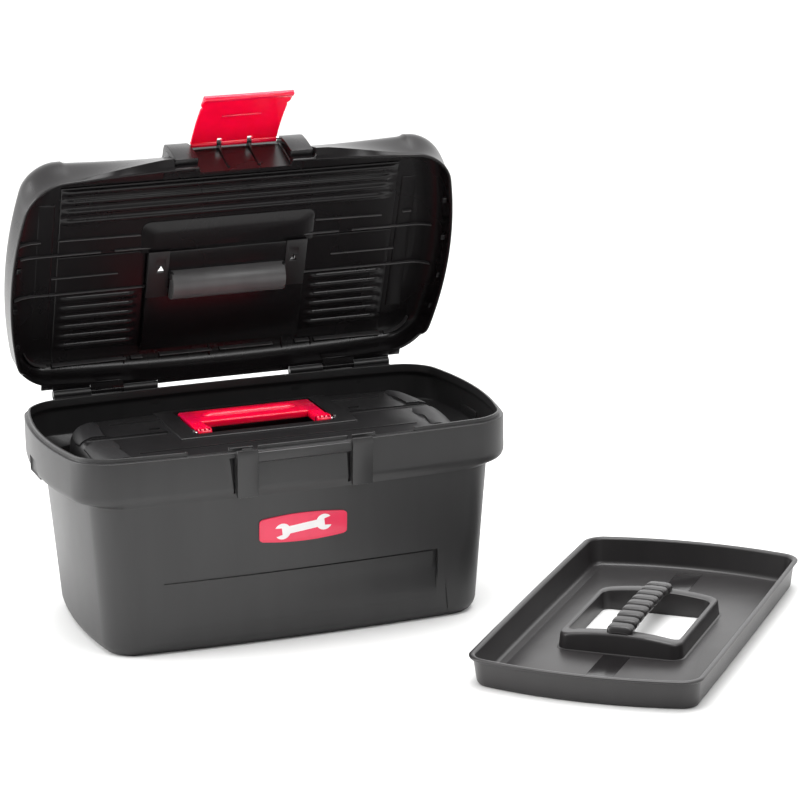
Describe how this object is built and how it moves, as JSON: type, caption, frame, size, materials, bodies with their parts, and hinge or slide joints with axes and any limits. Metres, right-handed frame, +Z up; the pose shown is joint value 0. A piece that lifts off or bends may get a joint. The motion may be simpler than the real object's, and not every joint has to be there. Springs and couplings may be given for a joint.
{
  "type": "toolbox with tray",
  "caption": "Plastic toolbox with a hinged lid, swing latch and folding handle, a lift-out tray and a smaller lidded case stored inside.",
  "frame": {"origin": "centre of the toolbox's underside, on the floor", "axes": "+X along the toolbox's length, +Y from the latch side to the hinge side, +Z up"},
  "size_m": [0.7891, 0.6404, 0.547],
  "materials": {
    "tub_plastic": "fine spark-eroded charcoal polypropylene, satin",
    "lid_plastic": "smooth near-black polypropylene, semi-gloss inside",
    "handle_plastic": "black polypropylene, semi-gloss",
    "case_plastic": "black polypropylene, satin",
    "tray_plastic": "warm dark grey polypropylene, satin",
    "red_plastic": "crimson, glossy",
    "badge_label": "red label with a plain white spanner mark, glossy",
    "steel": "drawn wire pins"
  },
  "bodies": {
    "toolbox_base": {"tub": "tub_plastic", "badge": "badge_label", "hinge_pin_left": "steel", "hinge_pin_right": "steel"},
    "toolbox_lid": {"lid": "lid_plastic", "latch_pin": "steel", "carry_handle_pin_left": "steel", "carry_handle_pin_right": "steel"},
    "main_latch": {"latch": "red_plastic"},
    "main_handle": {"carry_handle": "handle_plastic"},
    "loose_tray": {"tray": "tray_plastic"},
    "inner_case": {"case_tub": "case_plastic", "case_hinge_pin_left": "steel", "case_hinge_pin_right": "steel"},
    "inner_case_lid": {"case_lid": "case_plastic", "case_latch_pin": "steel", "case_handle_pin_left": "steel", "case_handle_pin_right": "steel"},
    "inner_case_latch": {"case_latch": "red_plastic"},
    "inner_case_handle": {"case_handle": "red_plastic"}
  },
  "joints": [
    {"name": "lid_hinge", "type": "hinge", "parent": "toolbox_base", "child": "toolbox_lid", "pos_m": [0, 0.14, 0.2165], "axis": [-1, 0, 0], "range_deg": [-68.2, 30]},
    {"name": "latch_hinge", "type": "hinge", "parent": "toolbox_lid", "child": "main_latch", "pos_m": [0, 0.07789, 0.48622], "axis": [-1, 0, 0], "range_deg": [-57, 40]},
    {"name": "carry_handle_hinge", "type": "hinge", "parent": "toolbox_lid", "child": "main_handle", "pos_m": [0, 0.12617, 0.35206], "axis": [1, 0, 0], "range_deg": [0, 95]},
    {"name": "tray_lift", "type": "slide", "parent": "toolbox_base", "child": "loose_tray", "axis": [0, 0, 1], "range_m": [0, 0.25]},
    {"name": "case_lift", "type": "slide", "parent": "toolbox_base", "child": "inner_case", "axis": [0, 0, 1], "range_m": [0, 0.1]},
    {"name": "case_lid_hinge", "type": "hinge", "parent": "inner_case", "child": "inner_case_lid", "pos_m": [0, 0.1064, 0.1675], "axis": [-1, 0, 0], "range_deg": [0, 60]},
    {"name": "case_handle_hinge", "type": "hinge", "parent": "inner_case_lid", "child": "inner_case_handle", "pos_m": [0, -0.003, 0.198], "axis": [1, 0, 0], "range_deg": [0, 90]},
    {"name": "case_latch_hinge", "type": "hinge", "parent": "inner_case_lid", "child": "inner_case_latch", "pos_m": [0, -0.1125, 0.188], "axis": [-1, 0, 0], "range_deg": [0, 12]}
  ]
}
